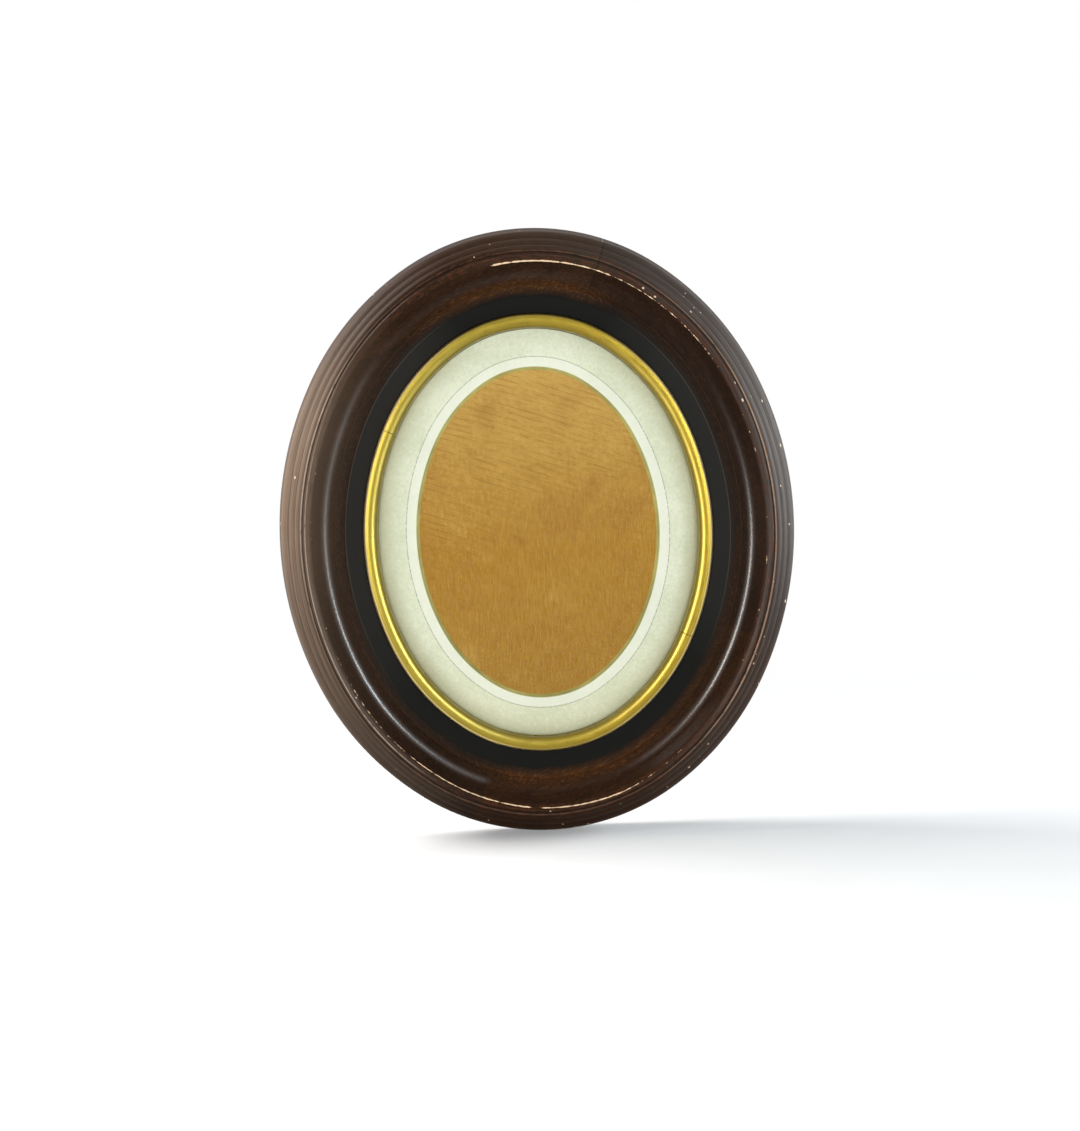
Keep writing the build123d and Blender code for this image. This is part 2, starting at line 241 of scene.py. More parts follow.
def arc_points(first, middle, last, step):
    """Points along the arc through three points, without the last one."""
    (ax, ay), (bx, by), (cx, cy) = first, middle, last
    twice = 2 * (ax * (by - cy) + bx * (cy - ay) + cx * (ay - by))
    square_a, square_b, square_c = ax**2 + ay**2, bx**2 + by**2, cx**2 + cy**2
    x = (square_a * (by - cy) + square_b * (cy - ay) + square_c * (ay - by)) / twice
    y = (square_a * (cx - bx) + square_b * (ax - cx) + square_c * (bx - ax)) / twice
    radius = math.hypot(ax - x, ay - y)
    start = math.atan2(ay - y, ax - x)
    turn = math.atan2(cy - y, cx - x) - start
    turn -= 2 * math.pi * round(turn / (2 * math.pi))
    count = max(2, math.ceil(abs(turn) * radius / step))
    angles = [start + turn * i / count for i in range(count)]
    return [(x + radius * math.cos(angle), y + radius * math.sin(angle)) for angle in angles]


def line_points(first, last, step):
    """Points along a straight line, without the last one."""
    count = max(1, math.ceil(math.dist(first, last) / step))
    return [tuple(np.array(first) + (np.array(last) - np.array(first)) * i / count) for i in range(count)]


def draw_section(start, strokes, softening):
    """A closed section's offsets, heights, distances across and marks.

    Each stroke has a name, a step and its end, with a point on the way first where it is
    an arc. Corners are softened by averaging each point with its neighbours, and the
    mark of a stroke is the distance across at its end.
    """
    points, ends, pen = [], {}, start
    for name, step, *shape in strokes:
        points += line_points(pen, *shape, step) if len(shape) == 1 else arc_points(pen, *shape, step)
        ends[name] = len(points)
        pen = shape[-1]
    points = np.array(points)
    for _ in range(softening):
        points = points / 2 + (np.roll(points, 1, axis=0) + np.roll(points, -1, axis=0)) / 4
    steps = np.linalg.norm(np.roll(points, -1, axis=0) - points, axis=1)
    across = np.concatenate([[0.0], np.cumsum(steps)])
    marks = {name: across[end] for name, end in ends.items()}
    return points[:, 0], points[:, 1], across, marks


def scoop_point(width_share, rise_share):
    return BAND_OUTER + width_share * SCOOP_WIDTH, BAND_HEIGHT + rise_share * CREST_RISE


def crest_point(width_share, rise_share):
    return CREST_INNER + width_share * CREST_WIDTH, BAND_HEIGHT + rise_share * CREST_RISE


def bead_point(width_share, height_share):
    return CREST_OUTER + width_share * BEAD_WIDTH, height_share * CREST_HEIGHT


def slip_point(width_share, rise_share):
    return width_share * (GILT_WIDTH - SLIP_CLEARANCE), SEAT_HEIGHT + SLIP_EDGE + rise_share * SLIP_RISE


# Strokes of the moulding's front and of the slip. Each has the stretch that it belongs to
# and its end in shares of that stretch's size, after a point on the way where it is an arc.
FRONT_STROKES = [
    ("step", scoop_point, (0, 0.03)),
    ("slope", scoop_point, (0.31, 0.17)),
    ("slope_step", scoop_point, (0.31, 0.2)),
    ("cove", scoop_point, (0.422, 0.344)),
    ("shoulder", scoop_point, (0.498, 0.419), (0.588, 0.466)),
    ("hollow", scoop_point, (0.684, 0.5175), (0.765, 0.602)),
    ("flank", scoop_point, (0.883, 0.77), (1, 0.94)),
    ("crest", crest_point, (0.5, 1)),
    ("quirk_in", crest_point, (0.62, 0.93)),
    ("quirk", crest_point, (0.88, 0.905)),
    ("crest_edge", crest_point, (1, 0.93)),
    ("bead_one", bead_point, (0.124, 0.944), (0.19, 0.9)),
    ("bead_two", bead_point, (0.368, 0.86), (0.47, 0.8)),
    ("bead_three", bead_point, (0.681, 0.744), (0.79, 0.665)),
    ("rim_step", bead_point, (0.79, 0.64)),
]
SLIP_STROKES = [
    ("foot", slip_point, (0.06, 0.22)),
    ("rise", slip_point, (0.112, 0.636)),
    ("bend", slip_point, (0.174, 0.806), (0.29, 0.909)),
    ("top", slip_point, (0.467, 0.966), (0.648, 0.985)),
    ("shoulder", slip_point, (0.775, 0.975), (0.9, 0.947)),
]


def strokes_in_metres(rows, step):
    """The strokes as draw_section takes them."""
    return [(name, step, *(point(*shares) for shares in shape)) for name, point, *shape in rows]


def moulding_section():
    """Band, scoop, crest and outer beads, then the back and the rebate."""
    start = (GILT_WIDTH, BAND_HEIGHT)
    land_out = RIM_OUTER - BACK_TAPER
    return draw_section(start, [
        ("band", FRONT_STEP, (BAND_OUTER, BAND_HEIGHT)),
        *strokes_in_metres(FRONT_STROKES, FRONT_STEP),
        ("rim", 2 * FRONT_STEP, (RIM_OUTER, BACK_TAPER_HEIGHT)),
        ("taper", BACK_STEP, (land_out, LAND_CHAMFER)),
        ("chamfer_out", BACK_STEP, (land_out - LAND_CHAMFER, 0)),
        ("land", BACK_STEP, (RECESS_EDGE + LAND_CHAMFER, 0)),
        ("chamfer_in", BACK_STEP, (RECESS_EDGE, LAND_CHAMFER)),
        ("recess", BACK_STEP, (RECESS_EDGE, RECESS_DEPTH)),
        ("ledge", BACK_STEP, (REBATE_LIP, RECESS_DEPTH)),
        ("rebate", BACK_STEP, (REBATE_LIP, SEAT_HEIGHT)),
        ("seat", BACK_STEP, (GILT_WIDTH, SEAT_HEIGHT)),
        ("gilt_wall", BACK_STEP, start),
    ], softening=1)


def slip_section():
    start = (0, SEAT_HEIGHT)
    strokes = strokes_in_metres(SLIP_STROKES, SLIP_STEP)
    outer = GILT_WIDTH - SLIP_CLEARANCE
    shoulder_height = strokes[-1][-1][1]
    return draw_section(start, [
        ("lip", SLIP_STEP, (0, SEAT_HEIGHT + SLIP_EDGE)),
        *strokes,
        ("edge", SLIP_STEP, (outer, shoulder_height - SLIP_EDGE)),
        ("wall", SLIP_STEP, (outer, SEAT_HEIGHT)),
        ("under", BACK_STEP, start),
    ], softening=2)


def mat_section():
    start = (-MAT_BORDER - MAT_BEVEL, MAT_BACK)
    return draw_section(start, [
        ("bevel", MAT_BEVEL / 4, (-MAT_BORDER, MAT_FRONT)),
        ("face", MAT_STEP, (BOARD_EDGE, MAT_FRONT)),
        ("side", MAT_STEP, (BOARD_EDGE, MAT_BACK)),
        ("under", 4 * MAT_STEP, start),
    ], softening=0)


MOULDING = moulding_section()
MARKS = MOULDING[3]
SLIP = slip_section()
SLIP_MARKS = SLIP[3]
MAT = mat_section()
BEVEL_END = MAT[3]["bevel"]


# Meshes

def smooth_object(name, points, faces, uv_pairs):
    """An object with smooth shading and the UV map "oval": turns, and metres across."""
    mesh = bpy.data.meshes.new(name)
    mesh.from_pydata(points, [], faces)
    layer = mesh.uv_layers.new(name="oval")
    layer.data.foreach_set("uv", np.asarray(uv_pairs, float).ravel())
    mesh.shade_smooth()
    mesh.set_sharp_from_angle(angle=math.radians(SHARP_DEGREES))
    mesh.update()
    piece = bpy.data.objects.new(name, mesh)
    bpy.context.scene.collection.objects.link(piece)
    return piece


def swept_object(name, angles, section, closed=False, shift=None):
    """Carries a closed section along the rim. shift moves its offsets and heights."""
    offsets, heights, across = section[:3]
    shape = (len(angles), len(offsets))
    offsets = np.broadcast_to(offsets, shape)
    heights = np.broadcast_to(heights, shape)
    if shift:
        moved_out, moved_up = shift(np.asarray(angles)[:, None], across[None, :-1])
        offsets, heights = offsets + moved_out, heights + moved_up
    points = rim_points(angles, offsets, heights).reshape(-1, 3)
    rows, columns = shape
    spans = rows if closed else rows - 1
    i, j = np.meshgrid(np.arange(spans), np.arange(columns), indexing="ij")
    i, j = i.ravel(), j.ravel()
    here, there = i * columns, (i + 1) % rows * columns
    next_j = (j + 1) % columns
    faces = np.stack([here + j, here + next_j, there + next_j, there + j], axis=1).tolist()
    turns = np.asarray(angles) / 360
    turn_ends = np.append(turns, turns[0] + 1)
    u = np.stack([turns[i], turns[i], turn_ends[i + 1], turn_ends[i + 1]], axis=1)
    v = np.stack([across[j], across[j + 1], across[j + 1], across[j]], axis=1)
    pairs = np.stack([u, v], axis=-1).reshape(-1, 2)
    if not closed:
        last = (rows - 1) * columns
        faces += [list(range(columns))[::-1], list(range(last, last + columns))]
        first_cap = np.stack([np.full(columns, turns[0]), across[:-1][::-1]], axis=1)
        last_cap = np.stack([np.full(columns, turns[-1]), across[:-1]], axis=1)
        pairs = np.concatenate([pairs, first_cap, last_cap])
    return smooth_object(name, points, faces, pairs)


def plate_object(name, offset, back, front):
    """A flat plate with the oval's outline and eased edges."""
    angles = np.arange(0, 360, 2 * COLUMN_DEGREES)
    offsets = np.array([offset - PLATE_EDGE, offset, offset, offset - PLATE_EDGE])
    heights = np.array([front, front - PLATE_EDGE, back + PLATE_EDGE, back])
    shape = (len(angles), len(offsets))
    count, rings = shape
    grid = rim_points(angles, np.broadcast_to(offsets, shape), np.broadcast_to(heights, shape))
    faces = []
    for i in range(count):
        here, there = i * rings, (i + 1) % count * rings
        for ring in range(rings - 1):
            faces.append([here + ring, here + ring + 1, there + ring + 1, there + ring])
    faces.append([i * rings for i in reversed(range(count))])
    faces.append([i * rings + rings - 1 for i in range(count)])
    points = grid.reshape(-1, 3)
    pairs = [(points[corner][0], points[corner][2]) for face in faces for corner in face]
    return smooth_object(name, points, faces, pairs)


def columns_between(start, stop):
    """Evenly spaced angles, both ends included."""
    count = round((stop - start) / COLUMN_DEGREES)
    return [start + (stop - start) * i / count for i in range(count + 1)]


# How the looks change round the rim, as (direction that it faces, how much). First the
# worn line on the crest: how little it is broken, how far it moves outwards, how wide it is.
WORN_EDGE = [
    (0, 0.3), (22, 0.3), (28, 0.5), (38, 0.56), (50, 0.62), (56, 0.68), (72, 0.8), (80, 1.0),
    (96, 1.0), (100, 0.7), (103, 0.22), (150, 0.15), (190, 0.3), (212, 0.52), (226, 0.62),
    (232, 1.0), (263, 1.0), (266, 0.4), (269, 1.0), (292, 0.9), (300, 0.6), (312, 0.3),
    (345, 0.35), (360, 0.3),
]
LINE_SHIFTS = [
    (0, 0.3), (60, 0.0), (200, 0.0), (240, 0.2), (256, 0.5), (267, 0.75), (292, 1.0), (312, 0.5),
    (360, 0.3),
]
LINE_WIDTHS = [
    (0, 0.8), (36, 0.85), (50, 0.75), (64, 0.7), (84, 0.8), (112, 1.0), (205, 1.0), (218, 0.45),
    (236, 0.4), (250, 0.5), (292, 0.55), (315, 0.8), (360, 0.8),
]

# Stain, wear, painted sheen and highlights, and shine of the walnut
BLACK_FADES = [
    (0, 0.5), (25, 0.5), (50, 0.8), (72, 1.0), (108, 1.0), (133, 0.6), (158, 0.1), (190, 0.2),
    (209, 0.7), (238, 0.9), (266, 1.0), (302, 0.9), (331, 0.6), (360, 0.5),
]
LIGHT_COVES = [
    (0, 0.0), (60, 0.0), (76, 0.9), (112, 0.7), (135, 0.0), (240, 0.1), (252, 0.4), (258, 1.0),
    (292, 0.9), (318, 0.25), (360, 0.0),
]
RED_CRESTS = [
    (0, 0.8), (20, 0.8), (45, 1.0), (130, 1.0), (150, 0.35), (205, 0.3), (235, 0.9), (350, 0.9),
    (360, 0.8),
]
# Painted sheen and highlights at the sides: how much lighter the black band and the step edges are
SIDE_SHEEN = [
    (0, 1.0), (40, 0.9), (62, 0.1), (118, 0.1), (135, 1.0), (190, 0.9), (220, 0.1), (330, 0.1),
    (345, 0.8), (360, 1.0),
]
# Worn varnish and painted sheen on the crest and beads, strongest at the sides
PALE_WEAR_AND_SHEEN = [
    (0, 0.46), (14, 0.68), (36, 0.58), (62, 0.32), (87, 0.15), (112, 0.0), (134, 0.05),
    (142, 0.14), (152, 0.37), (162, 0.6), (178, 0.57), (194, 0.44), (207, 0.34), (226, 0.2),
    (248, 0.0), (292, 0.02), (315, 0.16), (334, 0.16), (346, 0.26), (360, 0.46),
]
# Painted sheen in the scoop, mostly on the left
SCOOP_SHEEN = [
    (0, 0.15), (20, 0.0), (130, 0.0), (152, 0.7), (162, 1.0), (180, 1.0), (194, 0.55), (207, 0.3),
    (226, 0.0), (335, 0.0), (360, 0.15),
]
SHOULDER_SHINE = [
    (0, 0.85), (13, 0.3), (32, 0.0), (70, 0.0), (90, 0.12), (112, 0.1), (140, 0.05), (156, 0.6),
    (178, 0.95), (195, 1.0), (226, 0.9), (249, 0.6), (251, 0.0), (296, 0.1), (306, 0.5),
    (320, 0.8), (334, 1.0), (354, 1.0), (360, 0.85),
]
# Painted highlights on the crest's outer arris and on its top
EDGE_HIGHLIGHTS = [
    (0, 0.7), (8, 1.0), (20, 1.0), (32, 0.4), (60, 0.15), (110, 0.0), (134, 0.1), (144, 0.3),
    (156, 1.0), (170, 1.0), (184, 0.6), (200, 0.2), (250, 0.1), (300, 0.1), (315, 0.3),
    (334, 1.0), (350, 0.8), (360, 0.7),
]
CREST_HIGHLIGHTS = [
    (0, 0.1), (150, 0.0), (166, 0.5), (178, 0.7), (206, 0.9), (224, 0.8), (236, 0.0), (360, 0.1),
]
AMBER_LINES = [
    (0, 1.0), (26, 0.9), (34, 0.1), (326, 0.1), (334, 0.9), (360, 1.0),
]

# The gilding's painted light and rubbed edge, the mat's shade, and where the slip has cracks
GILT_LIGHT_AND_RUB = [
    (0, 1.0), (40, 0.8), (60, 0.1), (115, 0.1), (140, 0.9), (245, 1.0), (262, 0.3), (284, 0.3),
    (305, 0.8), (360, 1.0),
]
SHADED_MAT = [
    (0, 1.0), (50, 0.5), (78, 0.0), (108, 0.0), (135, 0.7), (215, 1.0), (250, 0.5), (290, 0.4),
    (330, 0.9), (360, 1.0),
]
GILT_CRACKS = [34.0, 128.0, 215.0, 292.0]


def worn_amount(angles):
    """How far the crest's inner edge is worn, as numbers for the mesh."""
    places, amounts = zip(*WORN_EDGE)
    return np.interp(np.asarray(angles) % 360, places, amounts)


def ripple(angles, waves, seed):
    """A smooth repeatable wobble between about -1 and 1 along the rim."""
    chance = np.random.default_rng(seed)
    total = 0.0
    for wave in waves:
        total = total + np.sin(np.radians(angles) * wave + chance.uniform(0, 2 * math.pi))
    return total / len(waves)


def moulding_wear(angles, across):
    """The worn arris of the crest is a little lower, and its edges wobble."""
    dents = 0.5 + 0.5 * ripple(angles, (211, 307, 433), seed=5)
    loss = worn_amount(angles) * np.exp(-((across - MARKS["flank"]) / WEAR_WIDTH) ** 2) * dents
    rubs = 0.5 + 0.5 * ripple(angles, (37, 83, 149), seed=6)
    rubbed = np.exp(-((across - MARKS["crest_edge"]) / RUB_WIDTH) ** 2) * rubs
    return 0.0 * across, -WEAR_DEPTH * loss - RUB_DEPTH * rubbed


def slip_waves(angles, across):
    """Gesso and gilding laid by hand: the slip's top and outer edge wander slightly."""
    raised = (across > SLIP_MARKS["foot"]) & (across < SLIP_MARKS["edge"])
    outer = (across > SLIP_MARKS["shoulder"]) & (across < SLIP_MARKS["edge"] + SLIP_EDGE)
    return (
        outer * SLIP_WAVE_OUT * (ripple(angles, (7, 12, 19, 31), seed=8) - 1),
        raised * SLIP_WAVE_UP * (ripple(angles, (5, 11, 23), seed=9) - 1),
    )


# Materials

def srgb(red, green, blue):
    """A colour as it shows on the screen, as the numbers that a shader takes."""
    shares = [number / 255 for number in (red, green, blue)]
    return tuple(((s + 0.055) / 1.055) ** 2.4 if s > 0.04045 else s / 12.92 for s in shares) + (1.0,)


class Paint:
    """A material's node tree, with short calls for the nodes that it needs."""

    def __init__(self, name):
        self.material = bpy.data.materials.new(name)
        self.material.use_nodes = True
        self.tree = self.material.node_tree
        self.tree.nodes.clear()

    def node(self, kind, settings=None, **inputs):
        made = self.tree.nodes.new("ShaderNode" + kind)
        for key, value in (settings or {}).items():
            setattr(made, key, value)
        for key, value in inputs.items():
            self.feed(made.inputs[key.replace("_", " ")], value)
        return made

    def feed(self, socket, value):
        if isinstance(value, bpy.types.NodeSocket):
            self.tree.links.new(value, socket)
        else:
            socket.default_value = value

    def math(self, operation, first, second=0.0, third=0.0, clamp=False):
        made = self.node("Math", {"operation": operation, "use_clamp": clamp})
        for socket, value in zip(made.inputs, (first, second, third)):
            self.feed(socket, value)
        return made.outputs[0]

    def add(self, first, second):
        return self.math("ADD", first, second)

    def subtract(self, first, second):
        return self.math("SUBTRACT", first, second)

    def multiply(self, first, second):
        return self.math("MULTIPLY", first, second)

    def larger(self, first, second):
        return self.math("MAXIMUM", first, second)

    def scaled(self, value, factor, shift):
        return self.math("MULTIPLY_ADD", value, factor, shift)

    def distance(self, value, target):
        return self.math("ABSOLUTE", self.subtract(value, target))

    def coordinates(self):
        return self.node("TexCoord").outputs["Object"]

    def place(self, axis):
        """One of the object's own coordinates, in metres."""
        return self.node("SeparateXYZ", Vector=self.coordinates()).outputs[axis]

    def turned(self, degrees, stretch=(1, 1, 1)):
        """Object coordinates with X along a direction in the XZ plane, then stretched."""
        rotated = self.node("Mapping", Vector=self.coordinates(), Rotation=(0, math.radians(degrees), 0))
        stretched = self.node("VectorMath", {"operation": "MULTIPLY"})
        self.feed(stretched.inputs[0], rotated.outputs[0])
        self.feed(stretched.inputs[1], stretch)
        return stretched.outputs[0]

    def noise(self, place=None, scale=1.0, detail=3.0, roughness=0.55, distortion=0.0):
        """Noise at a texture place, or else at the object's own coordinates."""
        made = self.node("TexNoise", Vector=place or self.coordinates(), Scale=scale, Detail=detail)
        self.feed(made.inputs["Roughness"], roughness)
        self.feed(made.inputs["Distortion"], distortion)
        return made.outputs["Fac"]

    def level(self, value, low, high, smooth=True):
        """0 below low and 1 above high; low may be the larger one."""
        settings = {"interpolation_type": "SMOOTHSTEP" if smooth else "LINEAR"}
        made = self.node("MapRange", settings, Value=value, From_Min=low, From_Max=high)
        return made.outputs["Result"]

    def ramp(self, value, stops):
        """Colours or numbers at places from 0 to 1."""
        made = self.node("ValToRGB", Fac=value)
        elements = made.color_ramp.elements
        while len(elements) < len(stops):
            elements.new(0.5)
        for element, (place, shade) in zip(elements, stops):
            element.position = place
            element.color = shade if isinstance(shade, tuple) else (shade, shade, shade, 1)
        return made.outputs["Color"]

    def mix(self, share, first, second):
        made = self.node("Mix", {"data_type": "RGBA"})
        self.feed(made.inputs[0], share)
        self.feed(made.inputs[6], first)
        self.feed(made.inputs[7], second)
        return made.outputs[2]

    def tint(self, base, colour, share, strength):
        """The base, moved towards a colour by share times strength."""
        return self.mix(self.multiply(share, strength), base, colour)

    def bump(self, height, depth, strength):
        return self.node("Bump", Height=height, Distance=depth, Strength=strength).outputs["Normal"]

    def surface(self, colour, roughness, normal, **others):
        inputs = {"Base_Color": colour, "Roughness": roughness, "Normal": normal, **others}
        return self.finish(self.node("BsdfPrincipled", **inputs))

    def finish(self, shader):
        self.tree.links.new(shader.outputs[0], self.node("OutputMaterial").inputs["Surface"])
        return self.material


class RimPaint(Paint):
    """Paint that knows its place: turns round the rim, and metres across the section."""

    def __init__(self, name):
        super().__init__(name)
        place = self.node("SeparateXYZ", Vector=self.node("UVMap", {"uv_map": "oval"}).outputs["UV"])
        self.turn = self.math("FRACT", place.outputs["X"])
        self.across = place.outputs["Y"]

    def along(self, turn_scale, across_scale):
        """A texture place that runs with the rim."""
        x, y = self.multiply(self.turn, turn_scale), self.multiply(self.across, across_scale)
        return self.node("CombineXYZ", X=x, Y=y).outputs[0]

    def past(self, low, high, smooth=True):
        """0 on one side of two places across the section and 1 on the other."""
        return self.level(self.across, low, high, smooth)

    def near(self, mark, width):
        """1 on a line across the section, 0 at this distance from it."""
        return self.level(self.distance(self.across, mark), width, 0.0)

    def round_the_rim(self, stops):
        """An amount that changes with the direction that the rim faces, in degrees."""
        return self.ramp(self.turn, [(place / 360, amount) for place, amount in stops])


def wood_grain(paint, degrees, seed):
    """Broad figure and fine fibres along a direction, both from 0 to 1."""
    broad, fine = (6 + seed, 90, 120), (36, 900 + 10 * seed, 1200)
    figure = paint.noise(paint.turned(degrees, broad), detail=6, roughness=0.7, distortion=0.35)
    fibres = paint.noise(paint.turned(degrees, fine), detail=4, roughness=0.75)
    return figure, fibres


def black_band(paint):
    """Where the wood is stained black: sharp at the sides, fading at the top and bottom."""
    fade = paint.multiply(paint.round_the_rim(BLACK_FADES), BLACK_FADE_WIDTH)
    cloudy = paint.noise(paint.along(24, 120), detail=5)
    edge = paint.add(paint.multiply(fade, cloudy), BAND_WIDTH + HAIR)
    inside = paint.subtract(edge, paint.across)
    soft = paint.add(fade, BLACK_EDGE_WIDTH)
    return paint.math("ADD", paint.math("DIVIDE", inside, soft), 0.5, clamp=True)


def worn_line(paint):
    """The crest's inner edge, worn to a broken pale line."""
    dashes = paint.noise(paint.along(150, 60), detail=4, roughness=0.7)
    wander = paint.noise(paint.along(300, 0), detail=2)
    reach = paint.add(paint.round_the_rim(WORN_EDGE), paint.multiply(paint.subtract(dashes, 0.5), 2.6))
    reach = paint.multiply(paint.subtract(reach, 0.5), WORN_REACH)
    reach = paint.math("MINIMUM", reach, WORN_HALF_WIDTH)
    reach = paint.multiply(reach, paint.round_the_rim(LINE_WIDTHS))
    centre = paint.scaled(wander, FINE, MARKS["flank"] - WORN_INSET)
    centre = paint.scaled(paint.round_the_rim(LINE_SHIFTS), WORN_SHIFT, centre)
    return paint.level(paint.subtract(reach, paint.distance(paint.across, centre)), 0.0, WORN_SOFTNESS)


def stained_wood(paint, degrees, figure, fibres, brown):
    """The stained brown, lighter and flecked with gold in the cove at the top and bottom, paled by wear
    and painted sheen.
    """
    dark = tuple(0.55 * c for c in brown[:3]) + (1.0,)
    wood = paint.mix(paint.level(figure, 0.3, 0.72), dark, brown)
    wood = paint.tint(wood, dark, paint.level(fibres, 0.5, 0.75), 0.35)
    low = paint.past(MARKS["shoulder"] + WIDE, MARKS["slope"])
    wood = paint.tint(wood, srgb(26, 17, 11), low, 0.55)
    cove = paint.multiply(paint.round_the_rim(LIGHT_COVES), low)
    wood = paint.tint(wood, srgb(72, 43, 20), cove, 0.75)
    flecks = paint.noise(paint.turned(degrees, (240, 1200, 1400)), detail=3, roughness=0.7)
    golden = paint.scaled(cove, 0.42, 0.1)
    wood = paint.tint(wood, srgb(126, 84, 42), paint.level(flecks, 0.52, 0.68), golden)
    wood = paint.tint(wood, srgb(14, 9, 6), paint.level(flecks, 0.48, 0.34), 0.4)
    beads = paint.past(MARKS["crest_edge"] - SOFT, MARKS["crest_edge"] + SOFT)
    wood = paint.tint(wood, dark, beads, 0.35)
    # Painted sheen colour: warm on the left, cool grey-blue on the right
    right = paint.level(paint.place("X"), *SHEEN_COLOUR_SPAN)
    wear_and_sheen_colour = paint.mix(right, srgb(130, 111, 95), srgb(112, 104, 100))
    return paint.mix(wear_and_sheen_share(paint, beads), wood, wear_and_sheen_colour)


def wear_and_sheen_share(paint, beads):
    """How far the wood is paled by worn varnish and painted sheen: most on the beads, less on the crest,
    least in the scoop, where it is painted sheen.
    """
    crest = paint.past(MARKS["flank"] - 2 * FINE, MARKS["flank"] + BROAD)
    front = paint.past(MARKS["rim_step"] + RIM_FADE, MARKS["rim_step"])
    scraped = paint.level(paint.noise(paint.along(26, 1500), detail=5, roughness=0.65), 0.36, 0.62)
    share = paint.scaled(beads, 0.36, paint.scaled(crest, 0.32, 0.02))
    share = paint.multiply(share, paint.scaled(scraped, 0.7, 0.6))
    share = paint.multiply(share, paint.scaled(front, 0.85, 0.15))
    share = paint.multiply(share, paint.round_the_rim(PALE_WEAR_AND_SHEEN))
    scoop = paint.past(MARKS["step"], MARKS["flank"], smooth=False)
    return paint.scaled(paint.multiply(scoop, paint.round_the_rim(SCOOP_SHEEN)), 0.26, share)


def add_lines(paint, wood, rubbing):
    """Darker lines in the grooves, painted highlights and pale rubs on the arrises, and amber rubs in the
    quirk.
    """
    # Darker lines along the quirk and the bead grooves
    groove_lines = paint.near((MARKS["quirk_in"] + MARKS["quirk"]) / 2, WIDE)
    groove_lines = paint.larger(groove_lines, paint.near(MARKS["bead_one"], THIN))
    groove_lines = paint.larger(groove_lines, paint.near(MARKS["bead_two"], SOFT))
    wood = paint.tint(wood, srgb(12, 9, 7), groove_lines, 0.7)
    # Painted highlights, partly rubbed pale, on the step and slope-step edges at the sides
    slope_highlight = paint.multiply(paint.near(MARKS["slope_step"], BROAD), 0.4)
    step_highlights = paint.larger(paint.near(MARKS["step"], SOFT), slope_highlight)
    step_highlights = paint.multiply(step_highlights, paint.round_the_rim(SIDE_SHEEN))
    wood = paint.tint(wood, srgb(138, 120, 106), step_highlights, 0.25)
    # Painted highlights along the crest's arris and top, broken up by the rubbing noise
    ridge_highlight = paint.multiply(paint.near(MARKS["crest_edge"] - WIDE, BROAD), paint.round_the_rim(EDGE_HIGHLIGHTS))
    top = paint.multiply(paint.near(MARKS["crest"] - HAIR, FINE), paint.round_the_rim(CREST_HIGHLIGHTS))
    wood = paint.tint(wood, srgb(176, 156, 138), paint.larger(ridge_highlight, top), paint.level(rubbing, 0.3, 0.5))
    amber = paint.multiply(paint.near(MARKS["quirk"], FINE), paint.round_the_rim(AMBER_LINES))
    return paint.tint(wood, srgb(138, 88, 54), amber, paint.level(rubbing, 0.42, 0.58))


def varnished_front(paint, wood, line, red):
    """The wood with its reddish crest, black band, painted sheen and highlights, rubbed lines, worn line
    and chips.
    """
    rubbing = paint.noise(paint.along(130, 420), detail=6, roughness=0.75)
    crest_in = paint.past(MARKS["flank"] - CREST_FADE, MARKS["flank"])
    crest_out = paint.past(MARKS["crest_edge"] + SOFT, MARKS["crest_edge"] - FINE)
    crest = paint.multiply(paint.multiply(crest_in, crest_out), paint.round_the_rim(RED_CRESTS))
    wood = paint.tint(wood, red, crest, paint.level(rubbing, 0.44, 0.66))
    # Painted sheen: the black band is lighter at the sides
    black = paint.mix(paint.round_the_rim(SIDE_SHEEN), srgb(17, 17, 15), srgb(36, 35, 33))
    wood = paint.mix(black_band(paint), wood, black)
    wood = add_lines(paint, wood, rubbing)
    joint = paint.level(paint.distance(paint.turn, FIRST_JOINT / 360), JOINT_LINE, 0.0)
    wood = paint.tint(wood, srgb(16, 10, 7), joint, 0.4)
    wood = paint.mix(line, wood, paint.mix(rubbing, srgb(214, 168, 120), srgb(252, 232, 200)))
    return paint.mix(chip_spots(paint), wood, srgb(214, 190, 160))


def walnut_roughness(paint, smears, bare):
    """Polished in the scoop and on the crest, dull on the slope, the beads and bare wood."""
    polish = paint.add(paint.multiply(smears, 0.12), 0.13)
    dusty = paint.past(MARKS["crest_edge"] - HAIR, MARKS["crest_edge"] + BROAD)
    polish = paint.larger(polish, paint.multiply(dusty, 0.5))
    low = paint.past(MARKS["cove"], MARKS["slope"] - SOFT)
    polish = paint.larger(polish, paint.multiply(low, 0.5))
    return paint.larger(polish, paint.multiply(bare, 0.75))


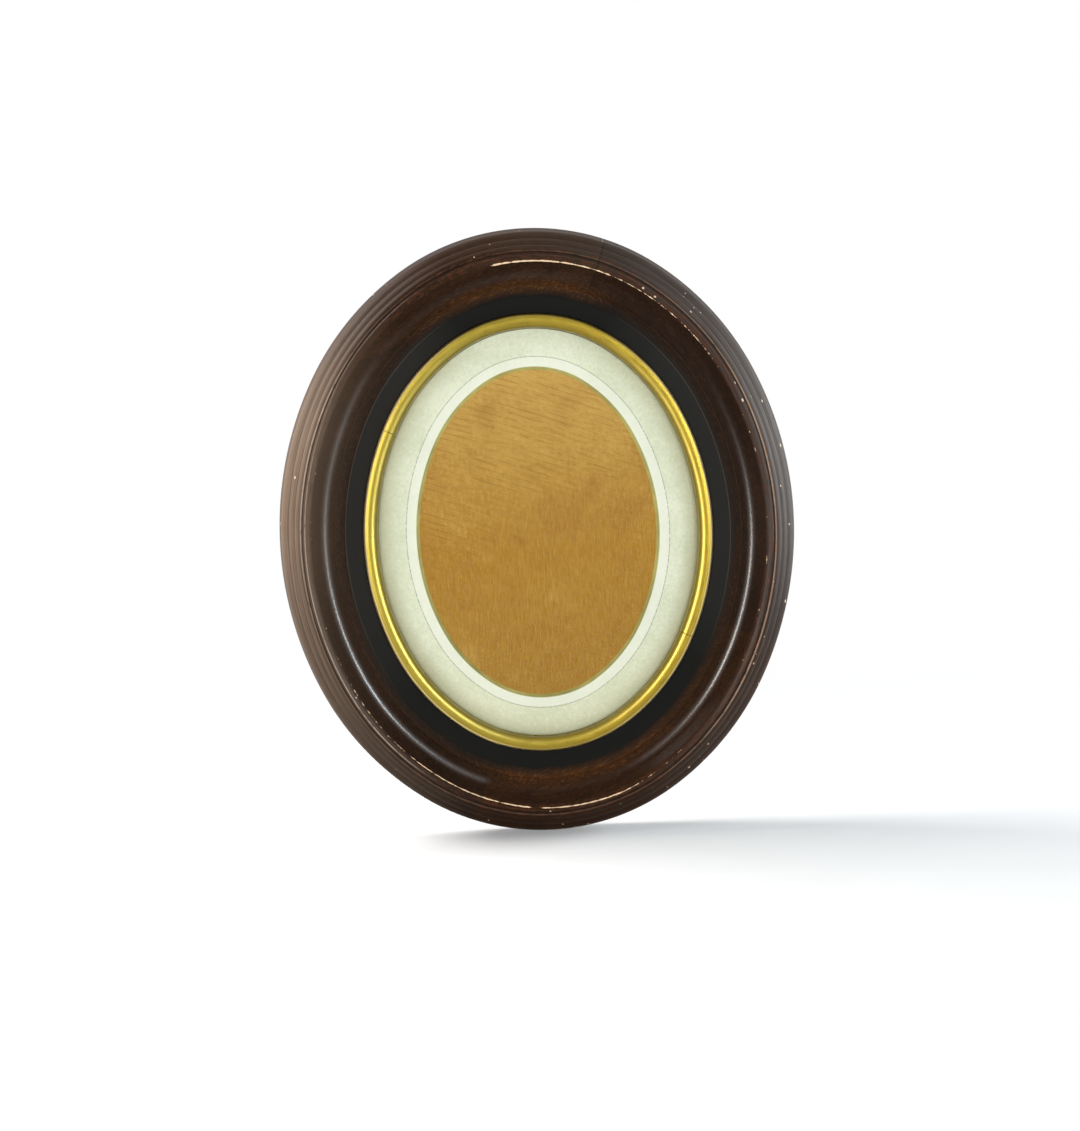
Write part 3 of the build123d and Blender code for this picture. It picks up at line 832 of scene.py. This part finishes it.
def walnut(name, degrees, seed, brown, red):
    """Varnished walnut with a black band, worn crest, small chips, painted sheen and highlights; raw at
    the back.
    """
    paint = RimPaint(name)
    figure, fibres = wood_grain(paint, degrees, seed)
    wood = stained_wood(paint, degrees, figure, fibres, brown)
    line = worn_line(paint)
    front = varnished_front(paint, wood, line, red)
    raw = paint.mix(paint.level(figure, 0.25, 0.75), srgb(92, 64, 43), srgb(128, 92, 62))
    raw = paint.tint(raw, srgb(62, 42, 28), paint.level(fibres, 0.5, 0.64), 0.75)
    back = paint.past(MARKS["rim"] - WIDE, MARKS["rim"] + 3 * SOFT)
    smears = paint.noise(scale=38, detail=4, roughness=0.6)
    roughness = walnut_roughness(paint, smears, paint.larger(line, back))
    height = paint.add(fibres, paint.multiply(smears, 0.6))
    height = paint.subtract(height, paint.multiply(line, 1.5))
    shine = paint.near(MARKS["shoulder"], SHINE_WIDTH)
    shine = paint.multiply(shine, paint.round_the_rim(SHOULDER_SHINE))
    gloss = paint.scaled(shine, 0.85, 0.05)
    normal = paint.bump(height, GRAIN_DEPTH, 0.3)
    return paint.surface(paint.mix(back, front, raw), roughness, normal, Specular_IOR_Level=gloss)


def chip_spots(paint):
    """Small chips scattered over the crest and the outer beads, more of them on the right."""
    rarity, more_at_right, largest, softness = 0.9, 0.07, 0.2, 0.03
    cells = paint.node("TexVoronoi", Vector=paint.along(220, 300), Scale=1.0)
    picked = paint.node("SeparateColor", Color=cells.outputs["Color"])
    right = paint.level(paint.place("X"), *CHIP_SPAN)
    chance = paint.scaled(right, more_at_right, picked.outputs[0])
    size = paint.multiply(paint.level(chance, rarity, 1.0, smooth=False), largest)
    spot = paint.subtract(size, cells.outputs["Distance"])
    on_front = paint.multiply(
        paint.past(MARKS["flank"] - WIDE, MARKS["flank"]),
        paint.past(MARKS["rim"], MARKS["rim"] - 2 * WIDE),
    )
    return paint.multiply(paint.level(spot, 0.0, softness), on_front)


def gilt_cracks(paint, clouds):
    """Hairline cracks in the slip, strongest at its foot."""
    cracks = None
    for angle in GILT_CRACKS:
        wander = paint.scaled(clouds, CRACK_WANDER, angle / 360)
        line = paint.level(paint.distance(paint.turn, wander), *CRACK_FADE)
        cracks = line if cracks is None else paint.larger(cracks, line)
    foot, top = SLIP_MARKS["bend"] * 0.4, SLIP_MARKS["top"]
    return paint.multiply(cracks, paint.past(top, foot))


def gilding():
    """Bronze gilding over gesso, with painted highlights on its bend and rubbed pale outer edge, painted
    shade on the inner face, and hairline cracks.
    """
    paint = RimPaint("gilding")
    clouds = paint.noise(paint.along(60, 300), detail=5, roughness=0.65)
    grains = paint.noise(scale=1400, detail=2)
    # How much painted light, and rub, the slip shows round the rim
    pale = paint.round_the_rim(GILT_LIGHT_AND_RUB)
    gold = paint.mix(paint.level(clouds, 0.3, 0.72), srgb(134, 112, 28), srgb(148, 126, 35))
    # Painted cool light: the gilding greener towards the left
    gold = paint.tint(gold, srgb(132, 120, 44), paint.level(paint.place("X"), *COOL_GILT_LIGHT_SPAN), 0.6)
    gold = paint.tint(gold, srgb(116, 96, 28), grains, 0.2)
    # Painted shade on the steep inner face, lighter at the sides where painted light falls
    low = paint.past(SLIP_MARKS["rise"] + FINE, SLIP_MARKS["rise"] - FINE)
    gold = paint.tint(gold, paint.mix(pale, srgb(108, 94, 36), srgb(160, 148, 78)), low, 0.8)
    # Painted highlight on the bend, partly a rubbed ridge
    ridge_highlight = paint.multiply(paint.near(SLIP_MARKS["bend"] + SOFT, 2 * BROAD), pale)
    gold = paint.tint(gold, srgb(206, 190, 110), ridge_highlight, 0.35)
    # Pale outer edge: rubbed gesso with a painted highlight
    rub_and_highlight = paint.past(SLIP_MARKS["shoulder"] - GILT_RUB, SLIP_MARKS["shoulder"])
    gold = paint.tint(gold, srgb(242, 216, 150), rub_and_highlight, pale)
    cracks = gilt_cracks(paint, clouds)
    gold = paint.mix(cracks, gold, srgb(40, 30, 16))
    normal = paint.bump(paint.subtract(paint.add(clouds, grains), cracks), GRAIN_DEPTH, 0.4)
    roughness = paint.add(paint.multiply(clouds, 0.12), 0.23)
    return paint.surface(gold, roughness, normal, Metallic=0.8)


def mat_card():
    """Aged cream card with a drawn hairline and a gilt bevel."""
    paint = RimPaint("cream_card")
    fibre = paint.noise(scale=560, detail=4, roughness=0.75)
    stain = paint.noise(scale=32, detail=5, roughness=0.6)
    card = paint.mix(paint.level(stain, 0.35, 0.7), srgb(204, 209, 182), srgb(217, 221, 197))
    # Darker and yellower towards the bottom: painted shade from the light above
    card = paint.tint(card, srgb(200, 200, 164), paint.level(paint.place("Z"), *MAT_SPAN), 0.5)
    card = paint.tint(card, srgb(186, 188, 160), paint.level(fibre, 0.5, 0.68), 0.4)
    card = paint.tint(card, srgb(228, 231, 214), paint.level(fibre, 0.47, 0.34), 0.4)
    line_at = BEVEL_END + MAT_HAIRLINE
    card = paint.tint(card, srgb(225, 227, 214), paint.past(line_at, line_at - THIN), 0.6)
    edge = paint.past(BEVEL_END + MAT_SHADE_START, BEVEL_END + MAT_BORDER + WIDE)
    edge = paint.multiply(edge, paint.round_the_rim(SHADED_MAT))
    card = paint.tint(card, srgb(162, 156, 114), edge, 0.65)
    ink = paint.level(paint.noise(paint.along(400, 0), detail=3), 0.3, 0.6)
    card = paint.tint(card, srgb(104, 106, 86), paint.multiply(paint.near(line_at, THIN), ink), 0.85)
    bevel = paint.past(BEVEL_END + THIN, BEVEL_END + HAIR)
    bronze = paint.mix(paint.level(stain, 0.3, 0.7), srgb(140, 134, 70), srgb(176, 168, 98))
    roughness = paint.subtract(0.85, paint.multiply(bevel, 0.4))
    normal = paint.bump(fibre, CARD_DEPTH, 0.5)
    return paint.surface(paint.mix(bevel, card, bronze), roughness, normal, Specular_IOR_Level=0.2)


def board_streaks(paint):
    """Short, broken, nearly parallel streaks, strongest in the board's upper half."""
    sloped = paint.node("SeparateXYZ", Vector=paint.turned(STREAK_SLOPE))
    bowed = paint.multiply(paint.noise(scale=16, detail=3), 9.0)
    phase = paint.scaled(sloped.outputs["Z"], 2 * math.pi / BOARD_STREAK_GAP, bowed)
    lines = paint.level(paint.math("SINE", phase), 0.7, 1.0)
    breaks = paint.noise(paint.turned(STREAK_SLOPE, (55, 1, 330)), detail=4, roughness=0.65)
    patches = paint.noise(scale=30, detail=2)
    strength = paint.multiply(paint.level(breaks, 0.46, 0.54), paint.level(patches, 0.2, 0.45))
    upper = paint.subtract(paint.place("Z"), paint.multiply(paint.place("X"), 0.5))
    upper = paint.scaled(paint.level(upper, *STREAK_SPAN), 0.85, 0.15)
    return paint.multiply(paint.multiply(strength, lines), upper)


def brown_board():
    """Golden brown board, mottled, lighter towards the top in painted light, with short darker streaks.
    """
    paint = Paint("brown_board")
    mottle = paint.noise(scale=26, detail=8, roughness=0.7)
    specks = paint.noise(scale=700, detail=3, roughness=0.7)
    weave = paint.noise(paint.turned(0, (1300, 1, 110)), detail=2)
    weft = paint.noise(paint.turned(STREAK_SLOPE, (60, 1, 1300)), detail=2)
    # Painted light from above: the board lighter towards the top
    height = paint.level(paint.place("Z"), *BOARD_SPAN, smooth=False)
    board = paint.ramp(height, [
        (0, srgb(150, 110, 38)),
        (0.45, srgb(158, 115, 36)),
        (1, srgb(190, 152, 78)),
    ])
    board = paint.tint(board, srgb(144, 98, 34), paint.level(mottle, 0.45, 0.66), 0.5)
    board = paint.tint(board, srgb(196, 158, 84), paint.level(mottle, 0.45, 0.3), 0.3)
    board = paint.tint(board, srgb(120, 82, 30), paint.level(specks, 0.48, 0.64), 0.24)
    board = paint.tint(board, srgb(206, 172, 98), paint.level(specks, 0.46, 0.34), 0.2)
    board = paint.tint(board, srgb(204, 168, 92), paint.level(weave, 0.42, 0.66), 0.22)
    board = paint.tint(board, srgb(134, 94, 34), paint.level(weft, 0.45, 0.65), 0.25)
    board = paint.tint(board, srgb(122, 80, 26), board_streaks(paint), 0.4)
    normal = paint.bump(paint.add(specks, mottle), GRAIN_DEPTH, 0.4)
    return paint.surface(board, 0.85, normal, Specular_IOR_Level=0.08)


def raw_board(name, pale, deep, degrees):
    """Thin unfinished wood for the backing board and the tongues."""
    paint = Paint(name)
    figure, fibres = wood_grain(paint, degrees, seed=2)
    stain = paint.noise(scale=14, detail=5, roughness=0.6)
    wood = paint.mix(paint.level(figure, 0.25, 0.75), deep, pale)
    wood = paint.tint(wood, deep, paint.level(fibres, 0.5, 0.64), 0.7)
    wood = paint.tint(wood, srgb(104, 76, 48), paint.level(stain, 0.5, 0.8), 0.35)
    normal = paint.bump(fibres, BOARD_GRAIN_DEPTH, 0.6)
    return paint.surface(wood, 0.75, normal, Specular_IOR_Level=0.25)


def metal(name, bright, dull, tarnish_level, roughness):
    """Worn metal with cloudy tarnish and fine scratches."""
    paint = Paint(name)
    clouds = paint.noise(scale=260, detail=5, roughness=0.65)
    scratches = paint.noise(paint.turned(25, (300, 300, 6000)), detail=2)
    tarnish = paint.level(clouds, tarnish_level, tarnish_level + 0.22)
    rough = paint.add(paint.multiply(tarnish, 0.25), roughness)
    normal = paint.bump(paint.add(scratches, clouds), METAL_DEPTH, 0.5)
    return paint.surface(paint.mix(tarnish, bright, dull), rough, normal, Metallic=1.0)


def pane():
    """Clear glass that lets the lamps through to what lies behind it."""
    paint = Paint("clear_pane")
    normal = paint.bump(paint.noise(scale=9, detail=1), PANE_DEPTH, 0.3)
    glass = paint.node("BsdfPrincipled", Base_Color=(1, 1, 1, 1), Roughness=0.0, IOR=1.15, Normal=normal)
    glass.inputs["Transmission Weight"].default_value = 1.0
    clear = paint.node("BsdfTransparent")
    light = paint.node("LightPath")
    passing = paint.larger(light.outputs["Is Shadow Ray"], light.outputs["Is Diffuse Ray"])
    both = paint.node("MixShader", Fac=passing)
    paint.feed(both.inputs[1], glass.outputs[0])
    paint.feed(both.inputs[2], clear.outputs[0])
    return paint.finish(both)


# The pieces

def finish_piece(piece, node, material):
    piece.data.materials.append(material)
    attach(piece, "frame")
    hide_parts(node)


def make_moulding():
    tones = {
        "upper_left": (srgb(50, 32, 20), srgb(74, 44, 28)),
        "lower_left": (srgb(44, 28, 18), srgb(66, 40, 26)),
        "lower_right": (srgb(52, 31, 16), srgb(74, 41, 24)),
        "upper_right": (srgb(42, 25, 15), srgb(76, 42, 25)),
    }
    for number, (name, (brown, red)) in enumerate(tones.items()):
        start = FIRST_JOINT + number * SEGMENT_SPAN
        stop = start + SEGMENT_SPAN
        grain = (start + stop) / 2 + 90
        angles = columns_between(start, stop)
        piece = swept_object("walnut_" + name, angles, MOULDING, shift=moulding_wear)
        material = walnut("walnut_" + name, grain, number, brown, red)
        finish_piece(piece, "moulding_" + name, material)


def make_gilt_slips():
    material = gilding()
    for name, start in (("upper", GILT_JOINT - 180), ("lower", GILT_JOINT)):
        angles = columns_between(start + GILT_JOINT_GAP, start + 180 - GILT_JOINT_GAP)
        piece = swept_object("gilded_" + name, angles, SLIP, shift=slip_waves)
        finish_piece(piece, "gilt_slip_" + name, material)


def make_boards():
    mat = swept_object("card_mat", np.arange(0, 360, COLUMN_DEGREES), MAT, closed=True)
    finish_piece(mat, "oval_mat", mat_card())
    board = plate_object("picture_card", BOARD_EDGE, MAT_BACK - BOARD_THICKNESS, MAT_BACK)
    finish_piece(board, "picture_board", brown_board())
    glass = plate_object("window_pane", GLASS_EDGE, MAT_FRONT + GLASS_GAP, SEAT_HEIGHT)
    finish_piece(glass, "glass", pane())


def dress_hardware():
    """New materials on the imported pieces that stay."""
    brass = metal("aged_brass", srgb(196, 158, 92), srgb(96, 72, 42), 0.5, 0.3)
    steel = metal("screw_steel", srgb(168, 166, 162), srgb(92, 80, 70), 0.55, 0.34)
    backing = raw_board("backing_wood", srgb(178, 138, 92), srgb(134, 98, 60), 90)
    birch = raw_board("birch", srgb(204, 172, 126), srgb(170, 134, 90), 0)
    for name, node in nodes.items():
        if name.endswith("_screws"):
            material = steel
        elif name.startswith(("turn_button_", "hanger_")):
            material = brass
        elif name == "backing_board":
            material = backing
        elif name == "joint_tongues":
            material = birch
        else:
            continue
        node.data.materials.clear()
        node.data.materials.append(material)


# The stage

FLOOR_RADIUS = 6.0
FLOOR_CORNERS = 96
FLOOR_GAP = 0.0001
FLOOR_FADE = (0.25, 0.85)


def make_floor():
    """A pale floor at the frame's lowest point, white further out so that no horizon shows."""
    level = cad_box[0][2] - FLOOR_GAP
    turns = [2 * math.pi * i / FLOOR_CORNERS for i in range(FLOOR_CORNERS)]
    corners = [(FLOOR_RADIUS * math.cos(turn), FLOOR_RADIUS * math.sin(turn), level) for turn in turns]
    mesh = bpy.data.meshes.new("floor")
    mesh.from_pydata(corners, [], [list(range(FLOOR_CORNERS))])
    floor = bpy.data.objects.new("floor", mesh)
    bpy.context.scene.collection.objects.link(floor)
    paint = Paint("pale_floor")
    length = paint.node("VectorMath", {"operation": "LENGTH"})
    paint.feed(length.inputs[0], paint.coordinates())
    away = paint.scaled(paint.level(length.outputs["Value"], *FLOOR_FADE), 0.75, 0.25)
    light = paint.node("LightPath")
    seen = paint.larger(light.outputs["Is Camera Ray"], light.outputs["Is Glossy Ray"])
    seen = paint.larger(seen, light.outputs["Is Transmission Ray"])
    shade = paint.mix(paint.noise(scale=30), srgb(226, 228, 231), srgb(234, 236, 238))
    matt = paint.node("BsdfDiffuse", Color=shade)
    glow = paint.node("Emission", Color=(1, 1, 1, 1), Strength=1.0)
    both = paint.node("MixShader", Fac=paint.multiply(away, seen))
    paint.feed(both.inputs[1], matt.outputs[0])
    paint.feed(both.inputs[2], glow.outputs[0])
    mesh.materials.append(paint.finish(both))


def make_world():
    """White where it is seen or mirrored, and a soft fill where it only gives light."""
    world = bpy.data.worlds.new("studio")
    bpy.context.scene.world = world
    world.use_nodes = True
    tree = world.node_tree
    tree.nodes.clear()
    shown = tree.nodes.new("ShaderNodeBackground")
    shown.inputs["Color"].default_value = (1, 1, 1, 1)
    shown.inputs["Strength"].default_value = 1.0
    fill = tree.nodes.new("ShaderNodeBackground")
    fill.inputs["Color"].default_value = (0.96, 0.98, 1.0, 1)
    fill.inputs["Strength"].default_value = 0.12
    light = tree.nodes.new("ShaderNodeLightPath")
    either = light.outputs["Is Camera Ray"]
    for other in ("Is Glossy Ray", "Is Transmission Ray"):
        larger = tree.nodes.new("ShaderNodeMath")
        larger.operation = "MAXIMUM"
        tree.links.new(either, larger.inputs[0])
        tree.links.new(light.outputs[other], larger.inputs[1])
        either = larger.outputs[0]
    both = tree.nodes.new("ShaderNodeMixShader")
    output = tree.nodes.new("ShaderNodeOutputWorld")
    tree.links.new(either, both.inputs[0])
    tree.links.new(fill.outputs[0], both.inputs[1])
    tree.links.new(shown.outputs[0], both.inputs[2])
    tree.links.new(both.outputs[0], output.inputs["Surface"])


def viewpoint(azimuth, elevation):
    """Direction from the frame to a viewer or a lamp, azimuth positive to the right."""
    azimuth, elevation = math.radians(azimuth), math.radians(elevation)
    return Vector((
        math.sin(azimuth) * math.cos(elevation),
        -math.cos(azimuth) * math.cos(elevation),
        math.sin(elevation),
    ))


def add_lamp(name, direction, distance, size, power, colour, mirrored=True):
    """A rectangular lamp that faces the frame from an azimuth and elevation."""
    lamp = bpy.data.lights.new(name, "AREA")
    lamp.shape = "RECTANGLE"
    lamp.size, lamp.size_y = size
    lamp.energy = power
    lamp.color = colour
    holder = bpy.data.objects.new(name, lamp)
    bpy.context.scene.collection.objects.link(holder)
    holder.location = viewpoint(*direction) * distance
    holder.rotation_euler = (-holder.location).to_track_quat("-Z", "Y").to_euler()
    holder.visible_glossy = mirrored


def make_lamps():
    """Windows to both sides, lamps before the object for its highlights, and light from above."""
    cool, plain = (0.88, 0.97, 1.0), (1.0, 1.0, 1.0)
    warm, ivory = (1.0, 0.95, 0.88), (1.0, 0.95, 0.9)
    add_lamp("left_window", (-106, 38), distance=1.3, size=(0.8, 0.8), power=30, colour=ivory)
    add_lamp("right_window", (104, 6), distance=1.3, size=(0.4, 0.8), power=22, colour=cool)
    soft_box = {"distance": 1.4, "size": (0.5, 0.9), "colour": plain, "mirrored": False}
    add_lamp("left_soft", (-62, 20), power=4, **soft_box)
    add_lamp("right_soft", (60, 14), power=3.4, **soft_box)
    front_box = {"distance": 1.4, "size": (0.26, 0.3), "power": 4.8}
    add_lamp("left_front", (-17.4, 1.2), colour=warm, **front_box)
    add_lamp("right_front", (19.5, 2.8), colour=cool, **front_box)
    add_lamp("top", (0, 58), distance=1.5, size=(0.7, 0.4), power=2, colour=plain, mirrored=False)


def make_camera():
    """A long lens, a little above and left of the frame, rolled as the frame leans."""
    azimuth, elevation, distance, roll = -1.4, 4.0, 1.5, 2.36
    sensor, picture_height, focal_pixels = 36.0, 1131, 2506.0
    depth, aside, below = 0.028, 0.0002, 0.0195
    centre = Vector((0, -depth, 0))
    aim = centre + Vector((aside, 0, -below))
    camera = bpy.data.objects.new("camera", bpy.data.cameras.new("camera"))
    bpy.context.scene.collection.objects.link(camera)
    camera.data.sensor_width = sensor
    camera.data.lens = focal_pixels / picture_height * sensor
    camera.location = centre + viewpoint(azimuth, elevation) * distance
    looking = (aim - camera.location).to_track_quat("-Z", "Y").to_matrix().to_4x4()
    rolled = looking @ Matrix.Rotation(math.radians(-roll), 4, "Z")
    camera.matrix_world = Matrix.Translation(camera.location) @ rolled
    bpy.context.scene.camera = camera


make_camera()
make_world()
make_lamps()
make_floor()
make_moulding()
make_gilt_slips()
make_boards()
dress_hardware()

bpy.context.scene.view_settings.view_transform = "Standard"
